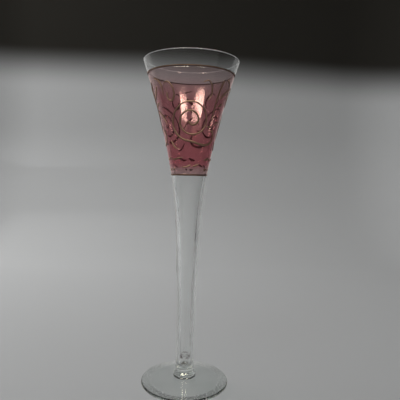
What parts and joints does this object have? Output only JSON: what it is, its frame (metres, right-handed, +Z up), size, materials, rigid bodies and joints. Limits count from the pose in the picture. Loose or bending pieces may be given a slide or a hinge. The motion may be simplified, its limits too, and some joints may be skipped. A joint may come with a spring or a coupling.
{
  "type": "champagne flute",
  "caption": "Tall trumpet champagne flute: hollow clear stem on a round foot, rose-stained flared bowl with raised gold scrollwork and gold lines, clear rim.",
  "frame": {"origin": "where the flute's axis meets the surface that it stands on, under the middle of the foot", "axes": "+Z up along the flute's axis, -Y towards the side that carries the large spiral of the first motif, +X to that side's right"},
  "size_m": [0.07, 0.07, 0.24],
  "materials": {
    "clear_glass": "clear blown glass, fire polished",
    "rose_stain": "transparent rose stain with a faint lustre, fired on to the outside of the bowl",
    "burnished_gold": "raised, worn antique gold, half dull"
  },
  "bodies": {
    "root": {"bowl": "clear_glass", "stem": "clear_glass", "wafer": "clear_glass", "foot": "clear_glass", "rose_band": "rose_stain", "upper_gold_line": "burnished_gold", "lower_gold_line": "burnished_gold", "gold_comma_a": "burnished_gold", "gold_comma_b": "burnished_gold", "gold_comma_c": "burnished_gold", "gold_leaf_long_a": "burnished_gold", "gold_leaf_long_b": "burnished_gold", "gold_leaf_long_c": "burnished_gold", "gold_leaf_low_a": "burnished_gold", "gold_leaf_short_a": "burnished_gold", "gold_leaf_short_b": "burnished_gold", "gold_leaf_short_c": "burnished_gold", "gold_left_hook_a": "burnished_gold", "gold_left_hook_b": "burnished_gold", "gold_left_hook_c": "burnished_gold", "gold_low_comma_a": "burnished_gold", "gold_low_comma_b": "burnished_gold", "gold_low_comma_c": "burnished_gold", "gold_low_left_a": "burnished_gold", "gold_low_left_b": "burnished_gold", "gold_low_left_c": "burnished_gold", "gold_low_line_a": "burnished_gold", "gold_low_line_b": "burnished_gold", "gold_low_line_c": "burnished_gold", "gold_low_middle_a": "burnished_gold", "gold_low_middle_b": "burnished_gold", "gold_low_middle_c": "burnished_gold", "gold_low_right_a": "burnished_gold", "gold_low_right_b": "burnished_gold", "gold_low_right_c": "burnished_gold", "gold_low_tick_a": "burnished_gold", "gold_low_tick_b": "burnished_gold", "gold_low_tick_c": "burnished_gold", "gold_mid_dash_a": "burnished_gold", "gold_mid_dash_b": "burnished_gold", "gold_mid_dash_c": "burnished_gold", "gold_spiral_a": "burnished_gold", "gold_spiral_b": "burnished_gold", "gold_spiral_c": "burnished_gold", "gold_stalk_a": "burnished_gold", "gold_stalk_b": "burnished_gold", "gold_stalk_c": "burnished_gold", "gold_sweep_a": "burnished_gold", "gold_sweep_c": "burnished_gold", "gold_upper_curl_a": "burnished_gold", "gold_upper_curl_b": "burnished_gold", "gold_upper_curl_c": "burnished_gold", "gold_upper_hook_a": "burnished_gold", "gold_upper_hook_b": "burnished_gold", "gold_upper_hook_c": "burnished_gold"}
  },
  "joints": []
}
